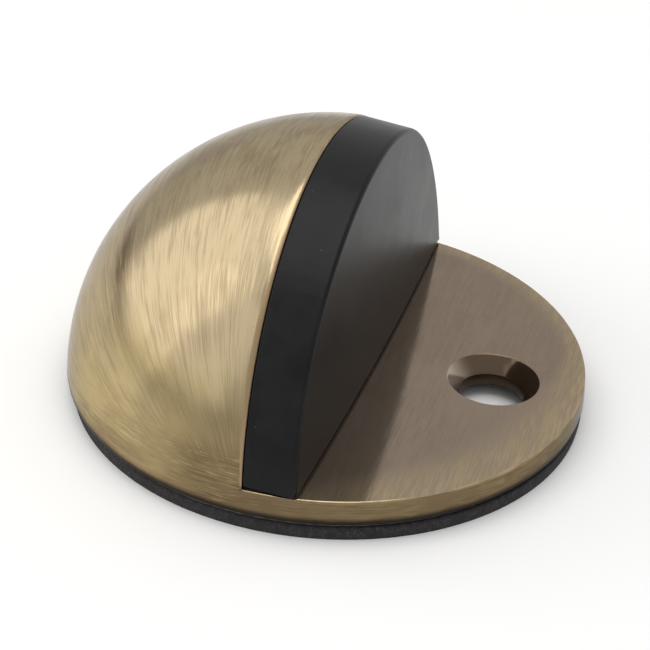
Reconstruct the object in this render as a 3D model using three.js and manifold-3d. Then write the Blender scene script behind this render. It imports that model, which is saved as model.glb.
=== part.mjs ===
// A half-moon floor door stop: a hollow cast body whose half dome grows out of a round base plate, a
// rubber buffer on the flat face of the dome, and a foam pad stuck under the base. One countersunk screw,
// driven through the hole in front of the buffer, holds it to the floor.
//
// Millimetres, +Z up. The origin is the centre of the pad's underside, on the floor. The buffer faces -Y.
import * as THREE from "three";
import { mergeVertices } from "three/addons/utils/BufferGeometryUtils.js";
import Module from "manifold-3d";

// Driving dimensions
const baseRadius = 23.5; // round base, and the widest line of the dome
const overallHeight = 24.4; // floor to the top of the dome
const domeSink = 0.45; // how far below the casting's underside the dome's centre lies
const plateThickness = 2.45; // the base plate in front of the dome
const plateEdgeRadius = 0.35; // upper edge of the plate
const lowerEdgeRadius = 0.6; // lower edge of the casting, above the pad

const padThickness = 1.2;
const padInset = 0.3; // the pad is smaller than the base by this much all round
const padHoleRadius = 5;
const filmThickness = 0.15; // adhesive film between pad and casting
const filmInset = 0.2; // the film is smaller than the pad by this much all round

const faceOffset = 0.2; // the dome's flat face stands this far in front of the centre, at the plate
const faceLean = THREE.MathUtils.degToRad(2.5); // the face leans back
const domeWall = 2.2;
const webThickness = 2.5; // the wall behind the flat face

const screwOffset = 15.4; // screw hole, in front of the centre
const screwHoleRadius = 2.9;
const countersinkRadius = 4.1;
const countersinkHalfAngle = THREE.MathUtils.degToRad(41);

const bufferThickness = 4.95; // at the middle of its crowned face
const bufferCrown = 0.7; // how far the middle of the face stands out from its ends
const bufferInset = 0.2; // the buffer's back is smaller than the dome's face by this much all round
const bufferSideDraft = 0.1; // and its front is narrower than its back by this much at each side
const bufferTopDraft = 0.35; // and lower by this much
const bufferLean = THREE.MathUtils.degToRad(3.2);
const bufferSeatGap = 0.3; // between buffer and metal, at the dome's face, the plate and the peg holes
const pegSpacing = 19; // between the two pegs moulded on the back of the buffer
const pegHeight = 6.2; // above the plate
const pegRadius = 2.1;
const pegBarb = 0.9; // how far a peg's head reaches past the edge of its hole
const pegHeadLength = 2.4;

// Sizes that follow from those
const plateBottom = padThickness + filmThickness;
const plateTop = plateBottom + plateThickness;
const domeCentreHeight = plateBottom - domeSink;
const domeHeight = overallHeight - domeCentreHeight; // equal to baseRadius, so the dome is half a ball
const screwPlace = new THREE.Vector2(0, -screwOffset);
const pegHoleRadius = pegRadius + bufferSeatGap;
const pegHeadRadius = pegHoleRadius + pegBarb;
const countersinkDepth = (countersinkRadius - screwHoleRadius) / Math.tan(countersinkHalfAngle);
const wellClear = 3; // how far a cutting solid runs past what it cuts

// How finely round things are divided
const roundSegments = 96;
const profileSegments = 20;
const crownSegments = 21; // odd, so that a flat facet is in the middle
const smallSegments = 48;

const wasm = await Module();
wasm.setup();

// A three.js geometry as a solid that can be joined and cut
function solidFrom(geometry) {
  const bare = new THREE.BufferGeometry();
  const source = geometry.index ? geometry.toNonIndexed() : geometry;
  bare.setAttribute("position", source.getAttribute("position"));
  const merged = mergeVertices(bare, 1e-4);
  return new wasm.Manifold(
    new wasm.Mesh({
      numProp: 3,
      vertProperties: new Float32Array(merged.attributes.position.array),
      triVerts: new Uint32Array(merged.index.array),
    }),
  );
}

function geometryFrom(solid) {
  const mesh = solid.getMesh();
  const positions = new Float32Array(mesh.numVert * 3);
  for (let i = 0; i < mesh.numVert; i++) {
    const start = i * mesh.numProp;
    positions.set(mesh.vertProperties.subarray(start, start + 3), i * 3);
  }
  const geometry = new THREE.BufferGeometry();
  geometry.setAttribute("position", new THREE.BufferAttribute(positions, 3));
  geometry.setIndex(new THREE.BufferAttribute(new Uint32Array(mesh.triVerts), 1));
  geometry.computeVertexNormals();
  return geometry;
}

// A closed profile, given as points of radius and height, turned about the vertical axis
function turned(points, segments = roundSegments) {
  return new THREE.LatheGeometry(points, segments).rotateX(Math.PI / 2);
}

// Points of an ellipse's arc from one angle to another
function arcPoints(cx, cy, rx, ry, start, end, divisions) {
  return new THREE.EllipseCurve(cx, cy, rx, ry, start, end, end < start).getPoints(divisions);
}

function box(xSize, ySize, zSize, x, y, z) {
  return new THREE.BoxGeometry(xSize, ySize, zSize).translate(x, y, z);
}

// Puts a geometry made about the face's own origin, with the face in its XZ plane, where the face is
function ontoFace(geometry) {
  return geometry.rotateX(-faceLean).translate(0, -faceOffset, plateTop);
}

function domeRadiusAt(height) {
  return baseRadius * Math.sqrt(1 - ((height - domeCentreHeight) / domeHeight) ** 2);
}

// The casting below a given height: flat underside, rounded lower edge, then the dome's own flank
function flankProfile(topHeight, divisions) {
  const roundTop = plateBottom + lowerEdgeRadius;
  const startAngle = Math.asin((roundTop - domeCentreHeight) / domeHeight);
  const endAngle = Math.asin(Math.min(1, (topHeight - domeCentreHeight) / domeHeight));
  const roundCentre = domeRadiusAt(roundTop) - lowerEdgeRadius;
  return [
    new THREE.Vector2(0, plateBottom),
    ...arcPoints(roundCentre, roundTop, lowerEdgeRadius, lowerEdgeRadius, -Math.PI / 2, 0, 4),
    ...arcPoints(0, domeCentreHeight, baseRadius, domeHeight, startAngle, endAngle, divisions).slice(1),
  ];
}

function domeSolid() {
  const profile = flankProfile(overallHeight, profileSegments);
  profile[profile.length - 1].x = 0;
  const whole = solidFrom(turned(profile));
  const size = 4 * baseRadius;
  const behindFace = ontoFace(box(size, size, size, 0, size / 2, 0));
  return whole.intersect(solidFrom(behindFace));
}

function plateSolid() {
  const edgeBase = plateTop - plateEdgeRadius;
  const edgeCentre = domeRadiusAt(edgeBase) - plateEdgeRadius;
  const profile = [
    ...flankProfile(edgeBase, 2),
    ...arcPoints(edgeCentre, edgeBase, plateEdgeRadius, plateEdgeRadius, 0, Math.PI / 2, 4).slice(1),
    new THREE.Vector2(0, plateTop),
  ];
  return solidFrom(turned(profile));
}

// The space inside the dome, open at the underside and closed at the front by the web
function coreSolid() {
  const startAngle = -Math.asin(wellClear / domeHeight);
  const radius = baseRadius - domeWall;
  const rise = domeHeight - domeWall;
  const profile = arcPoints(0, domeCentreHeight, radius, rise, startAngle, Math.PI / 2, profileSegments);
  profile[profile.length - 1].x = 0;
  profile.unshift(new THREE.Vector2(0, profile[0].y));
  const size = 4 * baseRadius;
  const behindWeb = ontoFace(box(size, size, size, 0, size / 2 + webThickness, 0));
  return solidFrom(turned(profile, roundSegments / 2)).intersect(solidFrom(behindWeb));
}

function screwHoleSolid() {
  const mouthRadius = countersinkRadius + wellClear * Math.tan(countersinkHalfAngle);
  const profile = [
    new THREE.Vector2(0, plateBottom - wellClear),
    new THREE.Vector2(screwHoleRadius, plateBottom - wellClear),
    new THREE.Vector2(screwHoleRadius, plateTop - countersinkDepth),
    new THREE.Vector2(mouthRadius, plateTop + wellClear),
    new THREE.Vector2(0, plateTop + wellClear),
  ];
  return solidFrom(turned(profile, smallSegments).translate(screwPlace.x, screwPlace.y, 0));
}

// The two places across the face where the buffer's pegs go
const pegPlaces = [-pegSpacing / 2, pegSpacing / 2];

function pegHoleSolid(x) {
  const length = webThickness + 2 * wellClear;
  const hole = new THREE.CylinderGeometry(pegHoleRadius, pegHoleRadius, length, smallSegments / 2);
  return solidFrom(ontoFace(hole.translate(x, webThickness / 2, pegHeight)));
}

function castingGeometry() {
  let casting = plateSolid().add(domeSolid()).subtract(coreSolid()).subtract(screwHoleSolid());
  for (const x of pegPlaces) {
    casting = casting.subtract(pegHoleSolid(x));
  }
  return geometryFrom(casting);
}

// The buffer's block, a round bar whose two ends are drawn to the buffer's back and front outlines. It
// runs past the front, which is cut to shape afterwards, so its drafts grow with its length.
function bufferBlock() {
  const length = bufferThickness + wellClear;
  const growth = length / bufferThickness;
  const bar = new THREE.CylinderGeometry(1, 1, length, roundSegments);
  const position = bar.getAttribute("position");
  for (let i = 0; i < position.count; i++) {
    const isFront = position.getY(i) < 0;
    const halfWidth = baseRadius - bufferInset - (isFront ? growth * bufferSideDraft : 0);
    const height = domeHeight - bufferInset - (isFront ? growth * bufferTopDraft : 0);
    position.setX(i, position.getX(i) * halfWidth);
    position.setZ(i, position.getZ(i) * height + domeCentreHeight - plateTop);
    position.setY(i, isFront ? -bufferSeatGap - length : -bufferSeatGap);
  }
  return solidFrom(ontoFace(bar));
}

// Everything behind the buffer's crowned and leaning front
function behindCrown() {
  const halfWidth = baseRadius + wellClear;
  const crownRadius = (baseRadius ** 2 + bufferCrown ** 2) / (2 * bufferCrown);
  const halfAngle = Math.asin(halfWidth / crownRadius);
  const depth = 2 * bufferThickness;
  const outline = new THREE.Shape();
  const middle = -Math.PI / 2;
  outline.absarc(0, crownRadius, crownRadius, middle - halfAngle, middle + halfAngle, false);
  outline.lineTo(halfWidth, depth);
  outline.lineTo(-halfWidth, depth);
  outline.closePath();
  const height = 2 * overallHeight;
  const prism = new THREE.ExtrudeGeometry(outline, {
    depth: height,
    bevelEnabled: false,
    curveSegments: crownSegments,
  });
  const front = -faceOffset - bufferThickness;
  return prism.translate(0, 0, -height / 2).rotateX(-bufferLean).translate(0, front, plateTop);
}

// A peg with a barbed head that snaps through the web
function pegSolid(x) {
  const neckEnd = webThickness + bufferSeatGap;
  const root = -bufferThickness / 2;
  const tip = neckEnd + pegHeadLength;
  const profile = [
    new THREE.Vector2(0, root),
    new THREE.Vector2(pegRadius, root),
    new THREE.Vector2(pegRadius, neckEnd),
    new THREE.Vector2(pegHeadRadius, neckEnd),
    new THREE.Vector2(pegHeadRadius, neckEnd + pegHeadLength / 4),
    new THREE.Vector2(pegRadius, tip),
    new THREE.Vector2(0, tip),
  ];
  const peg = new THREE.LatheGeometry(profile, smallSegments / 2);
  return solidFrom(ontoFace(peg.translate(x, 0, pegHeight)));
}

function bufferGeometry() {
  const bufferBottom = plateTop + bufferSeatGap;
  const size = 4 * baseRadius;
  const aboveSeat = box(size, size, size, 0, 0, bufferBottom + size / 2);
  let buffer = bufferBlock().intersect(solidFrom(behindCrown())).intersect(solidFrom(aboveSeat));
  for (const x of pegPlaces) {
    buffer = buffer.add(pegSolid(x));
  }
  return geometryFrom(buffer);
}

// A flat round layer under the casting, with a hole round the screw
function layerGeometry(radius, holeRadius, bottom, thickness) {
  const outline = new THREE.Shape().absarc(0, 0, radius, 0, 2 * Math.PI, false);
  outline.holes.push(new THREE.Path().absarc(screwPlace.x, screwPlace.y, holeRadius, 0, 2 * Math.PI, true));
  const layer = new THREE.ExtrudeGeometry(outline, {
    depth: thickness,
    bevelEnabled: false,
    curveSegments: roundSegments / 2,
  });
  return layer.translate(0, 0, bottom);
}

const materials = {
  antiqueBrass: new THREE.MeshStandardMaterial({ color: 0x9c8a63, metalness: 1, roughness: 0.38 }),
  blackRubber: new THREE.MeshStandardMaterial({ color: 0x2b2a2c, metalness: 0, roughness: 0.6 }),
  blackFoam: new THREE.MeshStandardMaterial({ color: 0x262526, metalness: 0, roughness: 0.95 }),
  clearAdhesive: new THREE.MeshStandardMaterial({ color: 0x3a3836, metalness: 0, roughness: 0.5 }),
};

function piece(name, geometry, material) {
  const mesh = new THREE.Mesh(geometry, material);
  mesh.name = name;
  return mesh;
}

const padRadius = baseRadius - padInset;
const pad = layerGeometry(padRadius, padHoleRadius, 0, padThickness);
const film = layerGeometry(padRadius - filmInset, padHoleRadius + filmInset, padThickness, filmThickness);

const doorStop = new THREE.Group();
doorStop.add(piece("body_casting", castingGeometry(), materials.antiqueBrass));
doorStop.add(piece("rubber_buffer", bufferGeometry(), materials.blackRubber));
doorStop.add(piece("foam_base_pad", pad, materials.blackFoam));
doorStop.add(piece("pad_adhesive_film", film, materials.clearAdhesive));

export default doorStop;
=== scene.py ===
import math
import bmesh
import bpy
from mathutils import Matrix, Vector, noise


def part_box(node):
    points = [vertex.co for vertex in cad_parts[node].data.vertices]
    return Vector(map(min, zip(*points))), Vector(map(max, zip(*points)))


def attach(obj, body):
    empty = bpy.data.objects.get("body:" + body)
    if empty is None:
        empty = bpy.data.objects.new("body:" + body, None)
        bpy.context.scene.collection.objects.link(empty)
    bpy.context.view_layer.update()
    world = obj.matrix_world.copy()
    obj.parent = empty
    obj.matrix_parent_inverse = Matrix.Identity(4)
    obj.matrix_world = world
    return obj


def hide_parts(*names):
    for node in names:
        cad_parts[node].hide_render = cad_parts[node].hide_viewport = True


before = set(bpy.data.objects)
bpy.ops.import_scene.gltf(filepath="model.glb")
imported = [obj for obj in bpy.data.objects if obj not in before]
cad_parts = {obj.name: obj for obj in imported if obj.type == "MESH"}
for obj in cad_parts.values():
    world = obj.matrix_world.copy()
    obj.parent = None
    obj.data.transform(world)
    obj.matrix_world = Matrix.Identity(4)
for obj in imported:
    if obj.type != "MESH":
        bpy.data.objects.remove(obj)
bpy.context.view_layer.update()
mm = 0.001

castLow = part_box("body_casting")[0]
padLow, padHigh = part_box("foam_base_pad")
print("frame loaded")


# the casting: half dome and round plate in one piece, all lengths in metres
castingSizes = {
    "bottom": castLow[2],
    "plateTop": castLow[2] + 2.45 * mm,
    "radius": 23.5 * mm,
    "domeCentre": castLow[2] - 0.45 * mm,
    "domeRise": 23.5 * mm,           # the dome is half a ball
    "lowerRound": 0.6 * mm,          # lower edge, above the pad
    "rimRound": 0.16 * mm,           # upper edge of the plate
    "faceOffset": 0.2 * mm,          # the flat face stands in front of the centre by this much
    "faceLean": math.radians(2.5),
    "easeDepth": 0.52 * mm,          # the dome's front edge is eased over this depth
    "easeInset": 0.25 * mm,          # and taken in by up to this much
    "easeWander": 0.14,              # how uneven it is, as a share of the inset
    "easeWanderScale": 420,          # per metre
    "wall": 2.2 * mm,                # of the dome
    "web": 2.5 * mm,                 # behind the flat face
    "spinSteps": 288,
    "lowerSteps": 6,
    "rimSteps": 5,
    "domeSteps": 64,
    "easeSteps": 6,
    "coreSteps": 32,
    "coreSpinSteps": 96,
}

screwHole = {
    "y": -15.4 * mm,
    "radius": 2.9 * mm,
    "sinkRadius": 4.1 * mm,
    "sinkHalfAngle": math.radians(41),
    "mouthRound": 0.07 * mm,         # the sink's upper edge is broken by this much
    "overrun": 1 * mm,               # how far the cutter runs past both faces
    "steps": 128,
}

pegs = {
    "spacing": 19 * mm,
    "height": 6.2 * mm,              # up the face from the plate
    "radius": 2.1 * mm,
    "holeRadius": 2.4 * mm,
    "headRadius": 3.3 * mm,
    "headLength": 2.4 * mm,
    "play": 0.3 * mm,                # between the web and the head
    "steps": 48,
}


def objectFrom(bm, name):
    mesh = bpy.data.meshes.new(name)
    bm.to_mesh(mesh)
    bm.free()
    obj = bpy.data.objects.new(name, mesh)
    bpy.context.scene.collection.objects.link(obj)
    return obj


def spunAbout(points, steps, centre, axis):
    # a closed body spun from a profile that starts and ends on the axis
    bm = bmesh.new()
    verts = [bm.verts.new(point) for point in points]
    for first, second in zip(verts, verts[1:]):
        bm.edges.new((first, second))
    bmesh.ops.spin(
        bm,
        geom=bm.verts[:] + bm.edges[:],
        cent=centre,
        axis=axis,
        angle=math.tau,
        steps=steps,
        use_merge=True,
        use_duplicate=False,
    )
    bmesh.ops.remove_doubles(bm, verts=bm.verts[:], dist=1e-7)
    bmesh.ops.recalc_face_normals(bm, faces=bm.faces[:])
    return bm


def booleanWith(obj, tools, operation):
    for tool in tools:
        step = obj.modifiers.new(operation.lower(), "BOOLEAN")
        step.operation = operation
        step.solver = "EXACT"
        step.object = tool
    ready = obj.evaluated_get(bpy.context.evaluated_depsgraph_get())
    mesh = bpy.data.meshes.new_from_object(ready)
    obj.modifiers.clear()
    old = obj.data
    obj.data = mesh
    mesh.name = old.name
    bpy.data.meshes.remove(old)
    for tool in tools:
        toolMesh = tool.data
        bpy.data.objects.remove(tool)
        bpy.data.meshes.remove(toolMesh)


def domeRadiusAt(height):
    s = castingSizes
    rise = (height - s["domeCentre"]) / s["domeRise"]
    return s["radius"] * math.sqrt(max(0.0, 1 - rise * rise))


# a point at the foot of the dome's flat face, and the way into the dome from there
faceFoot = Vector((0, -castingSizes["faceOffset"], castingSizes["plateTop"]))
faceInward = Vector((0, math.cos(castingSizes["faceLean"]), -math.sin(castingSizes["faceLean"])))


def faceDepth(point):
    # how far a point is behind the dome's flat face
    return (Vector(point) - faceFoot).dot(faceInward)


def outerProfile():
    s = castingSizes
    points = [(0, 0, s["bottom"])]
    roundTop = s["bottom"] + s["lowerRound"]
    roundCentre = domeRadiusAt(roundTop) - s["lowerRound"]
    for i in range(s["lowerSteps"] + 1):
        angle = -math.pi / 2 + i / s["lowerSteps"] * math.pi / 2
        x = roundCentre + s["lowerRound"] * math.cos(angle)
        points.append((x, 0, roundTop + s["lowerRound"] * math.sin(angle)))
    heights = [roundTop + (s["plateTop"] - s["rimRound"] - roundTop) * k / 4 for k in range(1, 4)]
    for i in range(s["rimSteps"] + 1):
        angle = i / s["rimSteps"] * math.pi / 2
        heights.append(s["plateTop"] - s["rimRound"] * (1 - math.sin(angle)))
    points += [(domeRadiusAt(h), 0, h) for h in heights]
    start = math.asin((s["plateTop"] - s["domeCentre"]) / s["domeRise"])
    for i in range(1, s["domeSteps"] + 1):
        angle = start + (math.pi / 2 - start) * i / s["domeSteps"]
        points.append((s["radius"] * math.cos(angle), 0, s["domeCentre"] + s["domeRise"] * math.sin(angle)))
    points[-1] = (0, 0, s["domeCentre"] + s["domeRise"])
    return points


def cutAlongFace(bm, depth):
    # only the dome's skin and the plate's upper edge are cut
    lowest = castingSizes["plateTop"] - 2 * castingSizes["rimRound"]
    faces = [face for face in bm.faces if face.calc_center_median().z > lowest]
    edges = dict.fromkeys(edge for face in faces for edge in face.edges)
    verts = dict.fromkeys(vert for face in faces for vert in face.verts)
    bmesh.ops.bisect_plane(
        bm,
        geom=[*verts, *edges, *faces],
        dist=1e-8,
        plane_co=faceFoot + faceInward * depth,
        plane_no=faceInward,
    )


def easeAmount(height, x):
    # the eased edge is fullest half way up, and a little uneven, as a hand-held belt leaves it
    s = castingSizes
    up = (height - s["plateTop"]) / (s["domeRise"] + s["domeCentre"] - s["plateTop"])
    swell = 0.62 + 0.38 * math.sin(math.pi * min(1.0, max(0.0, up)) ** 0.8)
    scale = s["easeWanderScale"]
    wander = noise.noise(Vector((x * scale, height * scale, 3.1))) * s["easeWander"]
    return s["easeInset"] * max(0.2, swell + wander)


def roundTheEdges(bm):
    # the plate's upper edge in front of the dome, and the dome's front edge
    s = castingSizes
    for vert in bm.verts:
        co = vert.co
        if co.z < s["plateTop"] - s["rimRound"] - 1e-8:
            continue
        depth = faceDepth(co)
        rise = min(1.0, (co.z - (s["plateTop"] - s["rimRound"])) / s["rimRound"])
        rimShare = 1 - math.sqrt(max(0.0, 1 - rise * rise))
        if depth < -1e-7:
            reach = Vector((co.x, co.y, 0))
            inset = s["rimRound"] * rimShare
        elif depth < s["easeDepth"]:
            share = 1 - depth / s["easeDepth"]
            easeShare = 1 - math.sqrt(max(0.0, 1 - share * share))
            reach = Vector((co.x, 0, max(0.0, co.z - s["plateTop"])))
            inset = easeAmount(co.z, co.x) * easeShare * rimShare
        else:
            continue
        if reach.length > inset:
            vert.co = co - reach.normalized() * inset


def outermost(verts):
    # the two that lie furthest out to the sides
    return [min(verts, key=lambda v: v.co.x), max(verts, key=lambda v: v.co.x)]


def everything(bm):
    return bm.verts[:] + bm.edges[:] + bm.faces[:]


def closeOpening(bm):
    # two flat faces that meet where the dome's face stands on the plate
    s = castingSizes
    near = 0.02 * mm                 # close enough to count as lying there
    rim = [edge for edge in bm.edges if edge.is_boundary]
    rimVerts = dict.fromkeys(vert for edge in rim for vert in edge.verts)
    onFoot = [v for v in rimVerts if abs(v.co.z - s["plateTop"]) < near and abs(faceDepth(v.co)) < near]
    corners = outermost(onFoot)
    # the edge between the two corners, which may be there already
    foot = bmesh.ops.contextual_create(bm, geom=corners)["edges"]
    foot = foot or [e for e in corners[0].link_edges if corners[1] in e.verts]
    isPlate = {edge: all(v.co.z < s["plateTop"] + near for v in edge.verts) for edge in rim}
    for edge in rim:
        for vert in edge.verts:
            if isPlate[edge]:
                vert.co.z = s["plateTop"]
            else:
                vert.co -= faceInward * faceDepth(vert.co)
    bmesh.ops.edgeloop_fill(bm, edges=[e for e in rim if isPlate[e]] + foot)
    bmesh.ops.edgeloop_fill(bm, edges=[e for e in rim if not isPlate[e]] + foot)


def castingBody():
    s = castingSizes
    bm = spunAbout(outerProfile(), s["spinSteps"], (0, 0, 0), (0, 0, 1))
    underside = [face for face in bm.faces if all(v.co.z < s["bottom"] + 1e-7 for v in face.verts)]
    bmesh.ops.dissolve_faces(bm, faces=underside, use_verts=True)
    cutAlongFace(bm, 0)
    for i in range(s["easeSteps"]):
        cutAlongFace(bm, s["easeDepth"] * (1 - math.sin(i / s["easeSteps"] * math.pi / 2)))
    frontHalf = []
    for face in bm.faces:
        middle = face.calc_center_median()
        if middle.z > s["plateTop"] and faceDepth(middle) < 0:
            frontHalf.append(face)
    bmesh.ops.delete(bm, geom=frontHalf, context="FACES")
    # the cuts' corners lie on the flats between the spun steps, so they are brought out to the true round
    for vert in bm.verts:
        if vert.co.z > s["bottom"] + s["lowerRound"] + 1e-8:
            flat = Vector((vert.co.x, vert.co.y))
            if flat.length > 1e-6:
                flat *= domeRadiusAt(vert.co.z) / flat.length
                vert.co.x, vert.co.y = flat
    bmesh.ops.remove_doubles(bm, verts=bm.verts[:], dist=0.008 * mm)
    roundTheEdges(bm)
    closeOpening(bm)
    bmesh.ops.recalc_face_normals(bm, faces=bm.faces[:])
    return objectFrom(bm, "brassCasting")


def coreTool():
    # the hollow inside the dome, open below
    s = castingSizes
    low = s["bottom"] - 2 * mm
    width = s["radius"] - s["wall"]
    points = [(0, 0, low), (width, 0, low)]
    for i in range(s["coreSteps"] + 1):
        angle = i / s["coreSteps"] * math.pi / 2
        z = s["domeCentre"] + (s["domeRise"] - s["wall"]) * math.sin(angle)
        points.append((width * math.cos(angle), 0, z))
    points[-1] = (0, 0, points[-1][2])
    bm = spunAbout(points, s["coreSpinSteps"], (0, 0, 0), (0, 0, 1))
    cut = bmesh.ops.bisect_plane(
        bm,
        geom=everything(bm),
        dist=1e-8,
        plane_co=faceFoot + faceInward * s["web"],
        plane_no=faceInward,
        clear_inner=True,
    )["geom_cut"]
    bmesh.ops.edgeloop_fill(bm, edges=[item for item in cut if isinstance(item, bmesh.types.BMEdge)])
    bmesh.ops.recalc_face_normals(bm, faces=bm.faces[:])
    return objectFrom(bm, "coreTool")


def screwHoleTool():
    h = screwHole
    top = castingSizes["plateTop"]
    below, above = castingSizes["bottom"] - h["overrun"], top + h["overrun"]
    slope = math.tan(h["sinkHalfAngle"])
    sinkBottom = top - (h["sinkRadius"] - h["radius"]) / slope
    outline = [
        (0, below),
        (h["radius"], below),
        (h["radius"], sinkBottom - 0.04 * mm),
        (h["radius"] + 0.03 * mm, sinkBottom + 0.02 * mm),
    ]
    # across and down at the mouth, as shares of its rounding
    for across, down in ((-1, 1), (-0.2, 0.45), (0.35, 0.12), (1, 0)):
        outline.append((h["sinkRadius"] + across * h["mouthRound"], top - down * h["mouthRound"] / slope))
    outline.append((h["sinkRadius"] + h["mouthRound"], above))
    outline.append((0, above))
    points = [(r, h["y"], z) for r, z in outline]
    bm = spunAbout(points, h["steps"], (0, h["y"], 0), (0, 0, 1))
    return objectFrom(bm, "screwHoleTool")


def ontoFace(bm):
    # from the face's own frame, with the face in its XZ plane, to where the face is
    place = Matrix.Translation(faceFoot) @ Matrix.Rotation(-castingSizes["faceLean"], 4, "X")
    bmesh.ops.transform(bm, matrix=place, verts=bm.verts[:])


def pegHoleTool(x):
    start, end = -1 * mm, castingSizes["web"] + 2 * mm
    outline = [(0, start), (pegs["holeRadius"], start), (pegs["holeRadius"], end), (0, end)]
    points = [(x + r, y, pegs["height"]) for r, y in outline]
    bm = spunAbout(points, pegs["steps"], (x, 0, pegs["height"]), (0, 1, 0))
    ontoFace(bm)
    return objectFrom(bm, "pegHoleTool")


pegPlaces = [-pegs["spacing"] / 2, pegs["spacing"] / 2]

casting = castingBody()
booleanWith(casting, [coreTool(), screwHoleTool()] + [pegHoleTool(x) for x in pegPlaces], "DIFFERENCE")
print("casting made:", len(casting.data.polygons), "faces")


# the rubber buffer
bufferSizes = {
    "seatGap": 0.06 * mm,            # behind it, to the dome's face
    "footGap": 0.22 * mm,            # under it, to the plate
    "radius": 23.4 * mm,             # of its back
    "frontWidthShare": 0.999,        # the mould's draft
    "frontRiseShare": 0.981,
    "thickness": 4.86 * mm,          # at the middle of the crowned face
    "crown": 0.7 * mm,               # how far the middle stands out from the ends
    "footCrown": 0.45 * mm,          # the same along the foot
    "frontLean": math.radians(3.2),
    "cornerRound": 1.25 * mm,
    "frontRound": 0.4 * mm,
    "backRound": 0.16 * mm,
    "steps": 224,
    "strips": 48,
}


def bufferBlock():
    s, b = castingSizes, bufferSizes
    foot = s["plateTop"] + b["footGap"]
    bm = bmesh.new()
    upright = Matrix.Translation((0, 0, s["domeCentre"])) @ Matrix.Rotation(math.pi / 2, 4, "X")
    bmesh.ops.create_circle(bm, cap_ends=True, segments=b["steps"], radius=b["radius"], matrix=upright)
    bmesh.ops.bisect_plane(
        bm,
        geom=everything(bm),
        dist=1e-8,
        plane_co=(0, 0, foot),
        plane_no=(0, 0, 1),
        clear_inner=True,
    )
    bmesh.ops.remove_doubles(bm, verts=bm.verts[:], dist=0.05 * mm)
    bmesh.ops.bevel(
        bm,
        geom=outermost([v for v in bm.verts if v.co.z < foot + 0.06 * mm]),
        offset=b["cornerRound"],
        segments=8,
        profile=0.5,
        affect="VERTICES",
        material=-1,
        clamp_overlap=False,
    )
    grown = bmesh.ops.extrude_face_region(bm, geom=bm.faces[:])["geom"]
    front = [item for item in grown if isinstance(item, bmesh.types.BMVert)]
    bmesh.ops.scale(
        bm,
        vec=(b["frontWidthShare"], 1, b["frontRiseShare"]),
        space=Matrix.Translation((0, 0, -s["domeCentre"])),
        verts=front,
    )
    bmesh.ops.translate(bm, vec=(0, -b["thickness"], 0), verts=front)
    bmesh.ops.recalc_face_normals(bm, faces=bm.faces[:])
    middle = -b["thickness"] / 2
    frontEdges = [e for e in bm.edges if all(v.co.y < middle for v in e.verts)]
    backEdges = [e for e in bm.edges if all(v.co.y > middle for v in e.verts)]
    for edges, size, segments in ((frontEdges, b["frontRound"], 6), (backEdges, b["backRound"], 3)):
        bmesh.ops.bevel(
            bm,
            geom=edges,
            offset=size,
            segments=segments,
            profile=0.5,
            affect="EDGES",
            material=-1,
            clamp_overlap=False,
        )
    # strips across the face, so that it can be crowned
    for i in range(1, b["strips"]):
        x = b["radius"] * (2 * i / b["strips"] - 1)
        bmesh.ops.bisect_plane(
            bm,
            geom=everything(bm),
            dist=1e-8,
            plane_co=(x, 0, 0),
            plane_no=(1, 0, 0),
        )
    bmesh.ops.remove_doubles(bm, verts=bm.verts[:], dist=0.004 * mm)
    # the crown, and the lean that grows from the back to the front
    for vert in bm.verts:
        co = vert.co
        forward = -co.y / b["thickness"]
        across = co.x / s["radius"]
        up = min(1.0, max(0.0, (co.z - foot) / (0.5 * b["radius"])))
        crown = (b["footCrown"] + (b["crown"] - b["footCrown"]) * up) * across * across * forward
        lean = s["faceLean"] + (b["frontLean"] - s["faceLean"]) * forward
        co.y += crown + math.tan(lean) * (co.z - s["plateTop"]) - s["faceOffset"] - b["seatGap"]
    bmesh.ops.recalc_face_normals(bm, faces=bm.faces[:])
    return objectFrom(bm, "rubberBuffer")


def pegBody(x):
    root = -1.2 * mm                 # it starts inside the buffer
    neckEnd = castingSizes["web"] + pegs["play"]
    tip = neckEnd + pegs["headLength"]
    outline = [
        (0, root),
        (pegs["radius"], root),
        (pegs["radius"], neckEnd),
        (pegs["headRadius"] - 0.2 * mm, neckEnd),
        (pegs["headRadius"], neckEnd + 0.2 * mm),
        (pegs["headRadius"], neckEnd + pegs["headLength"] / 4),
        (pegs["radius"], tip - 0.3 * mm),
        (pegs["radius"] - 0.4 * mm, tip),
        (0, tip),
    ]
    points = [(x + r, y, pegs["height"]) for r, y in outline]
    bm = spunAbout(points, pegs["steps"], (x, 0, pegs["height"]), (0, 1, 0))
    ontoFace(bm)
    return objectFrom(bm, "pegBody")


buffer = bufferBlock()
booleanWith(buffer, [pegBody(x) for x in pegPlaces], "UNION")
print("buffer made:", len(buffer.data.polygons), "faces")


# the foam pad
padSizes = {
    "radius": 23.2 * mm,
    "shift": -0.22 * mm,             # it is stuck on a little towards the front
    "holeRadius": 5 * mm,
    "edgeRound": 0.12 * mm,
    "bulge": 0.05 * mm,              # the cut edge bellies out a little under the casting's weight
    "cellDepth": 0.05 * mm,          # cells cut open along the edge
    "steps": 1100,
    "holeSteps": 96,
    "rows": 9,
}


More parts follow.
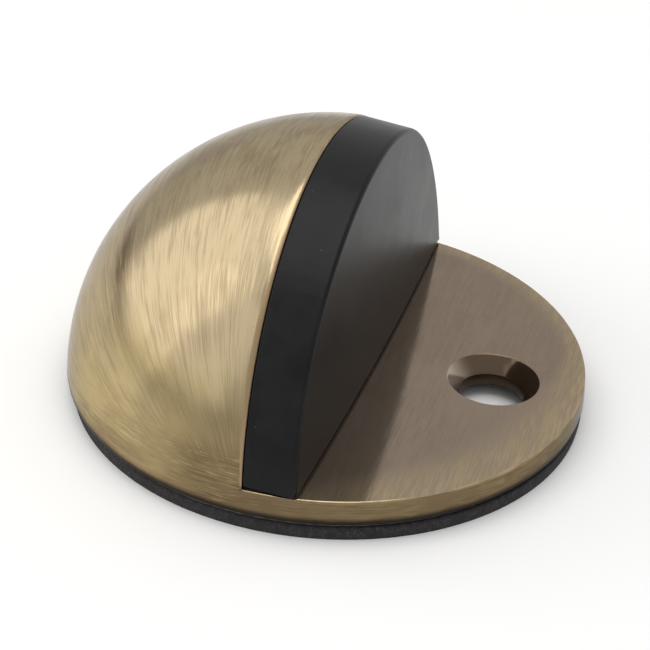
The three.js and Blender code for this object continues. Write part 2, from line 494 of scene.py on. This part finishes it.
def foamPad():
    p = padSizes
    thick = padHigh[2] - padLow[2]
    bm = bmesh.new()
    bmesh.ops.create_circle(bm, cap_ends=True, segments=p["steps"], radius=p["radius"] - p["bulge"])
    grown = bmesh.ops.extrude_face_region(bm, geom=bm.faces[:])["geom"]
    upper = [item for item in grown if isinstance(item, bmesh.types.BMVert)]
    bmesh.ops.translate(bm, vec=(0, 0, thick), verts=upper)
    uprights = [e for e in bm.edges if abs(e.verts[0].co.z - e.verts[1].co.z) > 0.5 * thick]
    bmesh.ops.subdivide_edges(bm, edges=uprights, cuts=p["rows"], use_grid_fill=True)
    for vert in bm.verts:
        co = vert.co
        up = (co.z / thick) * 2 - 1      # -1 at the underside, 1 at the top
        direction = Vector((co.x, co.y, 0)).normalized()
        belly = p["bulge"] * (1 - up * up)
        coarse = noise.noise(co * 3100)
        fine = noise.noise(co * 7600 + Vector((5, 1, 9)))
        pit = min(0.0, coarse * 0.9 + fine * 0.6 - 0.05)
        pit *= p["cellDepth"] * (1 if abs(up) < 0.99 else 0.4)
        corner = p["edgeRound"] * max(0.0, up - 0.75) / 0.25
        vert.co += direction * (belly + pit - corner)
        vert.co.y += p["shift"]
        vert.co.z += padLow[2]
    bmesh.ops.recalc_face_normals(bm, faces=bm.faces[:])
    return objectFrom(bm, "foamPad")


def padHoleTool():
    y, radius = screwHole["y"], padSizes["holeRadius"]
    below, above = -1 * mm, 3 * mm
    points = [(0, y, below), (radius, y, below), (radius, y, above), (0, y, above)]
    bm = spunAbout(points, padSizes["holeSteps"], (0, y, 0), (0, 0, 1))
    return objectFrom(bm, "padHoleTool")


pad = foamPad()
booleanWith(pad, [padHoleTool()], "DIFFERENCE")
print("pad made:", len(pad.data.polygons), "faces")


# where each bit of the casting's skin lies along and across its grain, in millimetres: the dome and the
# plate are brushed from side to side, the rim is brushed around
def layGrain(obj):
    s, h = castingSizes, screwHole
    mesh = obj.data
    grain = mesh.uv_layers.new(name="grain")
    girth = mesh.uv_layers.new(name="girth")
    poleDrop = 1 * mm                # the grain turns about an axis this far below and in front
    for polygon in mesh.polygons:
        middle, normal = polygon.center, polygon.normal
        nearHole = math.hypot(middle.x, middle.y - h["y"]) < h["sinkRadius"] + 2 * h["mouthRound"]
        isHole = nearHole and normal.z < 0.97
        isLow = middle.z < s["plateTop"] + 0.1 * mm
        isTop = normal.z > 0.8 and isLow and faceDepth(middle) < 0
        for index in polygon.loop_indices:
            co = mesh.vertices[mesh.loops[index].vertex_index].co
            if isHole:
                along = math.atan2(co.y - h["y"], co.x) * h["sinkRadius"]
                across = math.hypot(co.x, co.y - h["y"]) + co.z
            elif isTop:
                along, across = co.x, co.y
            else:
                along = co.x
                across = math.atan2(co.z - s["bottom"] + poleDrop, co.y + poleDrop) * s["radius"]
            grain.data[index].uv = (along / mm, across / mm)
            girth.data[index].uv = (math.atan2(co.x, -co.y) * s["radius"] / mm, co.z / mm)
        polygon.material_index = 1 if isHole else 0


def shadeSmooth(obj, angle):
    obj.data.shade_smooth()
    obj.data.set_sharp_from_angle(angle=math.radians(angle))
    step = obj.modifiers.new("weightedNormals", "WEIGHTED_NORMAL")
    step.mode = "FACE_AREA"
    step.weight = 100
    step.keep_sharp = True


# small helpers for the materials' nodes
def newMaterial(name):
    material = bpy.data.materials.new(name)
    material.use_nodes = True
    tree = material.node_tree
    shader = tree.nodes["Principled BSDF"]
    return material, tree, shader


def setInput(tree, socket, value):
    if isinstance(value, bpy.types.NodeSocket):
        tree.links.new(value, socket)
    elif isinstance(value, (tuple, list)) and len(value) == 3 and len(socket.default_value) == 4:
        socket.default_value = (*value, 1)
    else:
        socket.default_value = value


def addNode(tree, kind, inputs=None, **settings):
    node = tree.nodes.new("ShaderNode" + kind)
    for key, value in settings.items():
        setattr(node, key, value)
    for key, value in (inputs or {}).items():
        setInput(tree, node.inputs[key], value)
    return node


def calc(tree, operation, first, second=0.0, third=0.0):
    return addNode(tree, "Math", {0: first, 1: second, 2: third}, operation=operation).outputs[0]


def times(tree, *values):
    result = values[0]
    for value in values[1:]:
        result = calc(tree, "MULTIPLY", result, value)
    return result


def without(tree, value):
    return calc(tree, "SUBTRACT", 1.0, value)


def alongWay(tree, place, way):
    # how far a place lies along a direction
    return addNode(tree, "VectorMath", {0: place, 1: way}, operation="DOT_PRODUCT").outputs["Value"]


def ramped(tree, value, low, high, toLow=0.0, toHigh=1.0, smooth=True):
    inputs = {"Value": value, "From Min": low, "From Max": high, "To Min": toLow, "To Max": toHigh}
    style = "SMOOTHSTEP" if smooth else "LINEAR"
    return addNode(tree, "MapRange", inputs, interpolation_type=style).outputs["Result"]


def blended(tree, share, first, second):
    return addNode(tree, "Mix", {0: share, 6: first, 7: second}, data_type="RGBA").outputs[2]


def grainNoise(tree, source, along, across, shift, detail=2.0, roughness=0.5):
    # noise drawn out along the grain; along and across are cycles per millimetre
    inputs = {"Vector": source, "Scale": (along, across, 1), "Location": (shift, shift * 1.7, shift * 0.3)}
    place = addNode(tree, "Mapping", inputs)
    inputs = {"Vector": place.outputs[0], "Scale": 1.0, "Detail": detail, "Roughness": roughness}
    return addNode(tree, "TexNoise", inputs).outputs["Fac"]


def brushed(tree, maps, around, grain, shift, detail, roughness):
    # the first map's grain, and the second's where around is 1
    straight, curved = [grainNoise(tree, place, *grain, shift, detail, roughness) for place in maps]
    return addNode(tree, "Mix", {0: around, 2: straight, 3: curved}, data_type="FLOAT").outputs[0]


def plainNoise(tree, source, scale, detail=2.0, roughness=0.5, distortion=0.0):
    inputs = {"Vector": source, "Scale": scale, "Detail": detail, "Roughness": roughness}
    return addNode(tree, "TexNoise", {**inputs, "Distortion": distortion}).outputs["Fac"]


def setRelief(tree, shader, depth, height):
    inputs = {"Strength": 1.0, "Distance": depth, "Height": height}
    setInput(tree, shader.inputs["Normal"], addNode(tree, "Bump", inputs).outputs[0])


brassLook = {
    "pale": (0.455, 0.365, 0.226),   # the upper dome
    "golden": (0.52, 0.405, 0.195),  # lower down on the dome
    "plate": (0.305, 0.236, 0.178),
    # antiquing, and also the colour of the painted shade on the rim and of the painted dark reflection
    "brown": (0.15, 0.105, 0.055),
    # painted shade, with some antiquing, near the foot of the buffer
    "footShadeBrown": (0.12, 0.08, 0.038),
    # painted shade under the rim's rounded lower edge
    "black": (0.022, 0.016, 0.010),
    "copper": (0.35, 0.245, 0.14),
    "worn": (0.50, 0.385, 0.225),
    # the olive lower end of the painted dark reflection
    "oliveReflection": (0.24, 0.185, 0.05),
    "metallic": 0.88,
    "roughness": 0.19,
    "plateRoughness": 0.09,
    "edgeTint": (0.62, 0.60, 0.58),  # what a glancing view leaves of the shine
    "anisotropy": 0.35,
    "coat": 0.12,
    "coatRoughness": 0.1,
    "scratchDepth": 0.0042 * mm,
    "hair": (0.5, 8.4),              # the grain, in cycles a millimetre along and across it
    "fine": (0.3, 4.4),
    "broad": (0.13, 1.3),
    "darkReflectionNormal": (-0.486, -0.017, 0.874),  # square to the plane that the painted dark reflection lies in
    "streakPlace": 18.3 * mm,        # that plane's distance
    "rubbedWay": (-0.55, -0.835, 0),  # from the middle to the plate's rubbed corner
}


def brassMaps(tree):
    # the places and the noises that the brass is made from
    look, plateTop = brassLook, castingSizes["plateTop"]
    place = addNode(tree, "TexCoord").outputs["Object"]
    parts = addNode(tree, "SeparateXYZ", {0: place})
    height = parts.outputs[2]
    flat = addNode(tree, "CombineXYZ", {0: parts.outputs[0], 1: parts.outputs[1], 2: 0.0}).outputs[0]
    reach = addNode(tree, "VectorMath", {0: flat}, operation="LENGTH").outputs["Value"]
    inputs = {0: place, 1: tuple(faceFoot)}
    fromFoot = addNode(tree, "VectorMath", inputs, operation="SUBTRACT").outputs["Vector"]
    depth = alongWay(tree, fromFoot, tuple(faceInward))
    inFront = ramped(tree, depth, -0.3 * mm, 0.1 * mm, 1, 0)
    onPlate = times(tree, inFront, ramped(tree, height, plateTop - 0.1 * mm, plateTop - 0.03 * mm))
    cloud = plainNoise(tree, place, 130, detail=3, roughness=0.55)
    patch = plainNoise(tree, place, 420, detail=4, roughness=0.6, distortion=0.3)

    # brushed from side to side, and around near the foot, with a ragged meeting between the two
    ragged = calc(tree, "MULTIPLY_ADD", patch, 5 * mm, -2.5 * mm)
    around = ramped(tree, calc(tree, "ADD", height, ragged), 4.2 * mm, 8.4 * mm, 1, 0)
    around = times(tree, around, without(tree, onPlate))
    maps = [addNode(tree, "UVMap", uv_map=name).outputs[0] for name in ("grain", "girth")]
    hair = brushed(tree, maps, around, look["hair"], shift=3, detail=1, roughness=0.5)
    fine = brushed(tree, maps, around, look["fine"], shift=11, detail=2, roughness=0.6)
    broad = brushed(tree, maps, around, look["broad"], shift=23, detail=3, roughness=0.6)
    streak = calc(tree, "MULTIPLY_ADD", fine, 0.35, times(tree, broad, 0.3))
    streak = calc(tree, "MULTIPLY_ADD", hair, 0.35, streak)
    return {
        "place": place,
        "flat": flat,
        "reach": reach,              # from the upright axis
        "rearward": parts.outputs[1],
        "height": height,
        "depth": depth,              # behind the dome's flat face
        "inFront": inFront,
        "onPlate": onPlate,
        "cloud": cloud,
        "patch": patch,
        "hair": hair,
        "fine": fine,
        "broad": broad,
        "streak": streak,
    }


def tarnishShadeAndReflection(tree, m):
    # paler above, golden below, greyer brown on the plate
    look, height, rearward = brassLook, m["height"], m["rearward"]
    wander = calc(tree, "ADD", height, calc(tree, "MULTIPLY_ADD", m["cloud"], 8 * mm, -4 * mm))
    low = ramped(tree, wander, 4 * mm, 16 * mm, 1, 0)
    colour = blended(tree, low, look["pale"], look["golden"])
    colour = blended(tree, m["onPlate"], colour, look["plate"])
    # the brown antiquing is brushed off in streaks and clouds; near the foot of the buffer the dome is darker
    # brown, antiquing together with painted shade that stands in for the shadowed floor it reflects there
    tarnish = calc(tree, "ADD", m["streak"], calc(tree, "MULTIPLY_ADD", m["cloud"], 0.5, -0.25))
    most = calc(tree, "MULTIPLY_ADD", m["onPlate"], -0.26, 0.48)
    tarnish = ramped(tree, tarnish, 0.42, 0.62, 0, most)
    shadeNearFoot = ramped(tree, height, 5 * mm, 13 * mm, 1, 0)
    shadeNearFace = ramped(tree, rearward, 3 * mm, 12 * mm, 1, 0)
    foot = times(tree, shadeNearFoot, shadeNearFace, without(tree, m["onPlate"]))
    foot = times(tree, foot, ramped(tree, m["streak"], 0.4, 0.6, 0.95, 0.6))
    # painted reflection: a ragged dark streak in a slanting line over the back of the dome, standing in for
    # something dark that the dome reflects
    ragged = calc(tree, "MULTIPLY_ADD", m["fine"], 1.4 * mm, look["streakPlace"] - 0.7 * mm)
    darkReflection = calc(tree, "SUBTRACT", alongWay(tree, m["place"], look["darkReflectionNormal"]), ragged)
    darkReflection = calc(tree, "ABSOLUTE", darkReflection)
    # lower down, this painted reflection is olive beside the line
    oliveReflection = ramped(tree, darkReflection, 0.2 * mm, 2.6 * mm, 1, 0)
    oliveReflection = times(tree, oliveReflection, ramped(tree, height, 14 * mm, 11 * mm))
    oliveReflection = times(tree, oliveReflection, ramped(tree, height, 6 * mm, 10 * mm, 0, 0.38))
    oliveReflection = times(tree, oliveReflection, ramped(tree, rearward, 2 * mm, 7 * mm))
    colour = blended(tree, oliveReflection, colour, look["oliveReflection"])
    darkReflection = ramped(tree, darkReflection, 0.1 * mm, 1.3 * mm, 1, 0)
    darkReflection = times(tree, darkReflection, ramped(tree, rearward, 11 * mm, 15.2 * mm, 0.22, 0.95))
    darkReflection = times(tree, darkReflection, ramped(tree, height, 18.5 * mm, 15.5 * mm))
    colour = blended(tree, calc(tree, "MAXIMUM", tarnish, darkReflection), colour, look["brown"])
    return blended(tree, foot, colour, look["footShadeBrown"]), tarnish


def wornBrass(tree, m, colour):
    # fine bright scratches, and metal worn brighter along the plate's upper edge
    plateTop = castingSizes["plateTop"]
    rimRadius = domeRadiusAt(plateTop)
    lines = ramped(tree, m["hair"], 0.55, 0.70)
    edgeZone = ramped(tree, m["reach"], rimRadius - 4.5 * mm, rimRadius, 0.4, 0.7)
    edgeZone = times(tree, edgeZone, calc(tree, "MULTIPLY_ADD", m["onPlate"], -0.65, 1.0))
    scratches = times(tree, lines, edgeZone, ramped(tree, m["cloud"], 0.35, 0.6, 0.4, 1))
    colour = blended(tree, scratches, colour, brassLook["worn"])
    nearRim = ramped(tree, m["reach"], rimRadius - 0.30 * mm, rimRadius - 0.10 * mm)
    nearTop = ramped(tree, m["height"], plateTop - 0.25 * mm, plateTop - 0.03 * mm)
    worn = times(tree, nearRim, nearTop, m["inFront"], ramped(tree, m["patch"], 0.38, 0.6, 0.25, 1))
    # the plate's front corner is rubbed golden in a wide band, the rest of its edge in a narrow one
    rubbed = alongWay(tree, m["flat"], brassLook["rubbedWay"])
    band = ramped(tree, rubbed, 12 * mm, 21 * mm, 2.4 * mm, 6.5 * mm)
    rolled = calc(tree, "ADD", calc(tree, "SUBTRACT", m["reach"], rimRadius), band)
    rolled = ramped(tree, calc(tree, "DIVIDE", rolled, band), 0, 1)
    rolled = times(tree, rolled, m["onPlate"], ramped(tree, m["streak"], 0.4, 0.6, 0.25, 0.8))
    return blended(tree, calc(tree, "MAXIMUM", worn, rolled), colour, brassLook["worn"])


def easedEdge(tree, m):
    # where the dome's front edge is bare: as wide as the easing half way up, a quarter of that at its ends
    s = castingSizes
    top = s["domeCentre"] + s["domeRise"]
    rise = ramped(tree, m["height"], s["plateTop"], top, 0, math.pi, smooth=False)
    width = calc(tree, "MULTIPLY_ADD", calc(tree, "SINE", rise), 0.75 * s["easeDepth"], 0.25 * s["easeDepth"])
    ragged = calc(tree, "MULTIPLY_ADD", m["patch"], 0.5 * mm, -0.25 * mm)
    edgeShare = calc(tree, "SUBTRACT", width, calc(tree, "ADD", m["depth"], ragged))
    above = ramped(tree, m["height"], s["plateTop"], s["plateTop"] + 0.4 * mm)
    return times(tree, ramped(tree, edgeShare, 0, 0.14 * mm), above)


def brassRim(tree, m, colour):
    # brown patches round the rim, heavier along its front; painted shade darkening the rim towards its lower
    # edge, and nearly black painted shade under its rounded lower edge
    s, rearward = castingSizes, m["rearward"]
    ragged = calc(tree, "MULTIPLY_ADD", m["patch"], 0.24 * mm, -0.12 * mm)
    underRimShade = calc(tree, "ADD", m["height"], ragged)
    rimShade = ramped(tree, underRimShade, s["bottom"] + 0.75 * mm, s["bottom"] + 1.75 * mm, 0.55, 0)
    onRim = ramped(tree, m["height"], s["plateTop"] - 0.1 * mm, s["plateTop"] + 0.5 * mm, 1, 0)
    frontRim = ramped(tree, rearward, -20 * mm, -15 * mm)
    frontRim = times(tree, frontRim, ramped(tree, rearward, -3 * mm, 4 * mm, 0.5, 0))
    clouded = calc(tree, "ADD", m["streak"], calc(tree, "SUBTRACT", m["cloud"], 0.5))
    clouded = calc(tree, "ADD", ramped(tree, clouded, 0.4, 0.6, 0.02, 0.36), frontRim)
    patches = times(tree, onRim, without(tree, m["onPlate"]), clouded)
    colour = blended(tree, calc(tree, "MAXIMUM", rimShade, patches), colour, brassLook["brown"])
    # nearly black painted shade under the rim's rounded lower edge
    underRimShade = ramped(tree, underRimShade, s["bottom"] + 0.5 * mm, s["bottom"] + 1.05 * mm, 1, 0)
    return blended(tree, underRimShade, colour, brassLook["black"]), underRimShade


def antiqueBrass():
    look = brassLook
    material, tree, shader = newMaterial("antiqueBrass")
    m = brassMaps(tree)
    colour, tarnish = tarnishShadeAndReflection(tree, m)
    colour = wornBrass(tree, m, colour)
    copper = easedEdge(tree, m)
    colour = blended(tree, copper, colour, look["copper"])
    colour, underRimShade = brassRim(tree, m, colour)
    setInput(tree, shader.inputs["Base Color"], colour)
    # rougher where it is tarnished, bare, or black with painted shade under the rim
    rough = ramped(tree, m["onPlate"], 0, 1, look["roughness"], look["plateRoughness"], smooth=False)
    rough = calc(tree, "ADD", rough, calc(tree, "MULTIPLY_ADD", m["fine"], 0.1, -0.05))
    rough = calc(tree, "ADD", rough, times(tree, tarnish, 0.1))
    rough = calc(tree, "ADD", rough, times(tree, calc(tree, "MAXIMUM", copper, underRimShade), 0.2))
    setInput(tree, shader.inputs["Roughness"], rough)
    shader.inputs["Metallic"].default_value = look["metallic"]
    shader.inputs["Specular Tint"].default_value = (*look["edgeTint"], 1)
    shader.inputs["Anisotropic"].default_value = look["anisotropy"]
    shader.inputs["Anisotropic Rotation"].default_value = 0.25
    shader.inputs["Coat Weight"].default_value = look["coat"]
    shader.inputs["Coat Roughness"].default_value = look["coatRoughness"]
    tangent = addNode(tree, "Tangent", direction_type="UV_MAP", uv_map="grain").outputs[0]
    setInput(tree, shader.inputs["Tangent"], tangent)
    relief = calc(tree, "MULTIPLY_ADD", m["hair"], 0.6, times(tree, m["fine"], 0.8))
    relief = calc(tree, "ADD", relief, times(tree, m["broad"], 0.8))
    relief = times(tree, relief, calc(tree, "MULTIPLY_ADD", m["onPlate"], -0.55, 1.0))
    setRelief(tree, shader, look["scratchDepth"], relief)
    return material


sinkLook = {
    "bright": (0.44, 0.35, 0.27),
    # painted shade, on one side of the countersink
    "brown": (0.108, 0.071, 0.042),
    "depthShade": (0.056, 0.034, 0.015),
    "metallic": 0.75,
    "roughness": 0.13,
    "coat": 0.2,
    "coatRoughness": 0.08,
    "ringDepth": 0.003 * mm,
    "shadedWay": (1, -0.55, 0),       # across the hole, towards its side with painted shade
}


def turnedBrass():
    # the countersink and the bore, with the cutter's fine rings
    look = sinkLook
    material, tree, shader = newMaterial("turnedBrass")
    grain = addNode(tree, "UVMap", uv_map="grain").outputs[0]
    place = addNode(tree, "TexCoord").outputs["Object"]
    rings = grainNoise(tree, grain, 0.03, 9, 5, detail=2)
    cloud = plainNoise(tree, place, 500, detail=3)
    # painted shade: browner on one side of the hole, and darker in its depth
    side = alongWay(tree, place, look["shadedWay"])
    side = calc(tree, "ADD", side, calc(tree, "MULTIPLY_ADD", cloud, 0.8 * mm, -0.4 * mm))
    sideMiddle = look["shadedWay"][1] * screwHole["y"]
    shadedSide = ramped(tree, side, sideMiddle - 2.2 * mm, sideMiddle + 1.2 * mm)
    colour = blended(tree, shadedSide, look["bright"], look["brown"])
    top = castingSizes["plateTop"]
    height = addNode(tree, "SeparateXYZ", {0: place}).outputs[2]
    depth = ramped(tree, height, top - 2.3 * mm, top - 0.9 * mm, 1, 0)
    setInput(tree, shader.inputs["Base Color"], blended(tree, depth, colour, look["depthShade"]))
    rough = calc(tree, "MULTIPLY_ADD", rings, 0.12, look["roughness"] - 0.06)
    setInput(tree, shader.inputs["Roughness"], calc(tree, "MULTIPLY_ADD", depth, 0.3, rough))
    shader.inputs["Metallic"].default_value = look["metallic"]
    shader.inputs["Coat Weight"].default_value = look["coat"]
    shader.inputs["Coat Roughness"].default_value = look["coatRoughness"]
    setRelief(tree, shader, look["ringDepth"], rings)
    return material


rubberLook = {
    "black": (0.0036, 0.0036, 0.0041),
    "grey": (0.0085, 0.0085, 0.0093),
    "dust": (0.10, 0.098, 0.095),
    "ior": 1.27,
    "roughness": 0.36,
    "grainDepth": 0.0035 * mm,
}


def mouldedRubber():
    look = rubberLook
    material, tree, shader = newMaterial("mouldedRubber")
    place = addNode(tree, "TexCoord").outputs["Object"]
    cloud = plainNoise(tree, place, 190, detail=4, roughness=0.6)
    grain = plainNoise(tree, place, 5200, detail=2)
    pebble = plainNoise(tree, place, 1500, detail=3)
    colour = blended(tree, ramped(tree, cloud, 0.35, 0.68), look["black"], look["grey"])
    # a few specks of dust
    specks = addNode(tree, "TexVoronoi", {"Vector": place, "Scale": 950.0, "Randomness": 1.0})
    specks = ramped(tree, specks.outputs["Distance"], 0.05, 0.11, 1, 0)
    sparse = ramped(tree, plainNoise(tree, place, 900, detail=1), 0.56, 0.64)
    dust = times(tree, specks, sparse, 0.7)
    setInput(tree, shader.inputs["Base Color"], blended(tree, dust, colour, look["dust"]))
    rough = calc(tree, "MULTIPLY_ADD", cloud, 0.18, look["roughness"] - 0.09)
    rough = calc(tree, "ADD", rough, times(tree, dust, 0.3))
    setInput(tree, shader.inputs["Roughness"], rough)
    shader.inputs["IOR"].default_value = look["ior"]
    height = calc(tree, "MULTIPLY_ADD", grain, 0.4, times(tree, pebble, 1.2))
    height = calc(tree, "ADD", height, times(tree, dust, 1.5))
    setRelief(tree, shader, look["grainDepth"], height)
    return material


foamLook = {
    "black": (0.007, 0.0065, 0.0068),
    "cell": (0.062, 0.052, 0.056),
    "cellScale": 5600.0,
    "cellDepth": 0.05 * mm,
}


def closedCellFoam():
    look = foamLook
    material, tree, shader = newMaterial("closedCellFoam")
    place = addNode(tree, "TexCoord").outputs["Object"]
    inputs = {"Vector": place, "Scale": look["cellScale"]}
    cells = addNode(tree, "TexVoronoi", inputs, feature="DISTANCE_TO_EDGE")
    cloud = plainNoise(tree, place, 1700, detail=3)
    # the cell walls are paler than the cells; the pad's upper rim carries a painted highlight, where light
    # falls on its top edge
    wall = ramped(tree, cells.outputs["Distance"], 0.02, 0.16, 1, 0)
    light = times(tree, wall, ramped(tree, cloud, 0.34, 0.62, 0.15, 0.9))
    height = addNode(tree, "SeparateXYZ", {0: place}).outputs[2]
    # a painted highlight along the pad's upper rim
    rim = ramped(tree, height, padHigh[2] - 0.16 * mm, padHigh[2] - 0.04 * mm, 0, 0.35)
    rim = times(tree, rim, ramped(tree, cloud, 0.4, 0.6, 0.4, 1))
    light = calc(tree, "MAXIMUM", light, rim)
    setInput(tree, shader.inputs["Base Color"], blended(tree, light, look["black"], look["cell"]))
    setInput(tree, shader.inputs["Roughness"], calc(tree, "MULTIPLY_ADD", cloud, 0.25, 0.7))
    height = calc(tree, "MULTIPLY_ADD", wall, 0.6, times(tree, cloud, 0.8))
    setRelief(tree, shader, look["cellDepth"], height)
    return material


filmLook = {
    "dark": (0.07, 0.066, 0.062),
    "pale": (0.17, 0.16, 0.15),
    "depth": 0.01 * mm,
}


def filmAdhesive():
    look = filmLook
    material, tree, shader = newMaterial("filmAdhesive")
    place = addNode(tree, "TexCoord").outputs["Object"]
    cloud = plainNoise(tree, place, 1400, detail=3)
    colour = blended(tree, ramped(tree, cloud, 0.35, 0.7), look["dark"], look["pale"])
    setInput(tree, shader.inputs["Base Color"], colour)
    setInput(tree, shader.inputs["Roughness"], calc(tree, "MULTIPLY_ADD", cloud, 0.3, 0.4))
    setRelief(tree, shader, look["depth"], cloud)
    return material


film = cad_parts["pad_adhesive_film"]
for piece, materials in (
    (casting, (antiqueBrass(), turnedBrass())),
    (buffer, (mouldedRubber(),)),
    (pad, (closedCellFoam(),)),
    (film, (filmAdhesive(),)),
):
    piece.data.materials.clear()
    for material in materials:
        piece.data.materials.append(material)
layGrain(casting)
for piece, angle in ((casting, 32), (buffer, 40), (pad, 60)):
    shadeSmooth(piece, angle)
print("materials made")

for piece, node, slotName in (
    (casting, "body_casting", "antique_brass"),
    (buffer, "rubber_buffer", "buffer_rubber"),
    (pad, "foam_base_pad", "pad_foam"),
):
    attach(piece, "root")
    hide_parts(node)


# the room: a pale floor and soft lights, placed by the way they lie from the stop
roomLook = {
    "floorRadius": 3.0,
    "floorColour": (0.87, 0.87, 0.865),
    "floorShade": (0.885, 0.885, 0.88),
    "worldColour": (0.985, 0.99, 1.0),
    "worldStrength": 0.70,
}


def towards(azimuth, elevation):
    # azimuth 0 is straight out in front of the buffer, 90 is to its right
    turn, lift = math.radians(azimuth), math.radians(elevation)
    return Vector((math.sin(turn) * math.cos(lift), -math.cos(turn) * math.cos(lift), math.sin(lift)))


def softLight(name, shape, azimuth, elevation, distance, width, height, radiance, colour):
    data = bpy.data.lights.new(name, "AREA")
    data.shape = shape
    data.size = width
    data.size_y = height
    area = width * height * (math.pi / 4 if shape == "ELLIPSE" else 1)
    data.energy = radiance * math.pi * area
    data.color = colour
    light = bpy.data.objects.new(name, data)
    bpy.context.scene.collection.objects.link(light)
    centre = Vector((0, 0, 10 * mm))  # of the stop, which every light is aimed at
    light.location = centre + towards(azimuth, elevation) * distance
    light.rotation_euler = towards(azimuth, elevation).to_track_quat("Z", "Y").to_euler()
    light.visible_camera = False


# azimuth and elevation in degrees, distance, width and height in metres, then how bright each looks
softLight("topBox", "ELLIPSE", 0, 90, 0.6, 0.53, 0.53, 2.0, (1, 0.985, 0.96))
softLight("keyBox", "RECTANGLE", -172, 33, 0.7, 0.66, 0.84, 1.02, (1, 0.985, 0.95))
softLight("fillBox", "RECTANGLE", -136, 27, 0.7, 0.52, 0.64, 0.46, (1, 0.98, 0.95))

world = bpy.data.worlds.new("studio")
bpy.context.scene.world = world
world.use_nodes = True
background = world.node_tree.nodes["Background"]
background.inputs["Color"].default_value = (*roomLook["worldColour"], 1)
background.inputs["Strength"].default_value = roomLook["worldStrength"]

floorMesh = bmesh.new()
bmesh.ops.create_circle(floorMesh, cap_ends=True, segments=96, radius=roomLook["floorRadius"])
floor = objectFrom(floorMesh, "floor")
paper, tree, shader = newMaterial("palePaper")
shade = plainNoise(tree, addNode(tree, "TexCoord").outputs["Object"], 60, detail=3)
shade = blended(tree, shade, roomLook["floorColour"], roomLook["floorShade"])
setInput(tree, shader.inputs["Base Color"], shade)
shader.inputs["Roughness"].default_value = 0.9
shader.inputs["Specular IOR Level"].default_value = 0.1
floor.data.materials.append(paper)

# the camera looks along the buffer, from the left and above
cameraView = {
    "target": Vector((33.52, 8.89, -15.13)) * mm,
    "azimuth": -74.54,
    "elevation": 31.39,
    "distance": 180.6 * mm,
    "roll": math.radians(3.77),
    "lens": 85.94,
    "shift": (-0.0131, -0.0037),
}
cameraData = bpy.data.cameras.new("camera")
cameraData.lens = cameraView["lens"]
cameraData.sensor_width = 36
cameraData.shift_x, cameraData.shift_y = cameraView["shift"]
cameraData.clip_start = 0.01
camera = bpy.data.objects.new("camera", cameraData)
bpy.context.scene.collection.objects.link(camera)
away = towards(cameraView["azimuth"], cameraView["elevation"])
turned = away.to_track_quat("Z", "Y").to_matrix().to_4x4() @ Matrix.Rotation(cameraView["roll"], 4, "Z")
camera.matrix_world = Matrix.Translation(cameraView["target"] + away * cameraView["distance"]) @ turned
bpy.context.scene.camera = camera
bpy.context.scene.view_settings.view_transform = "Standard"
print("room and camera placed")
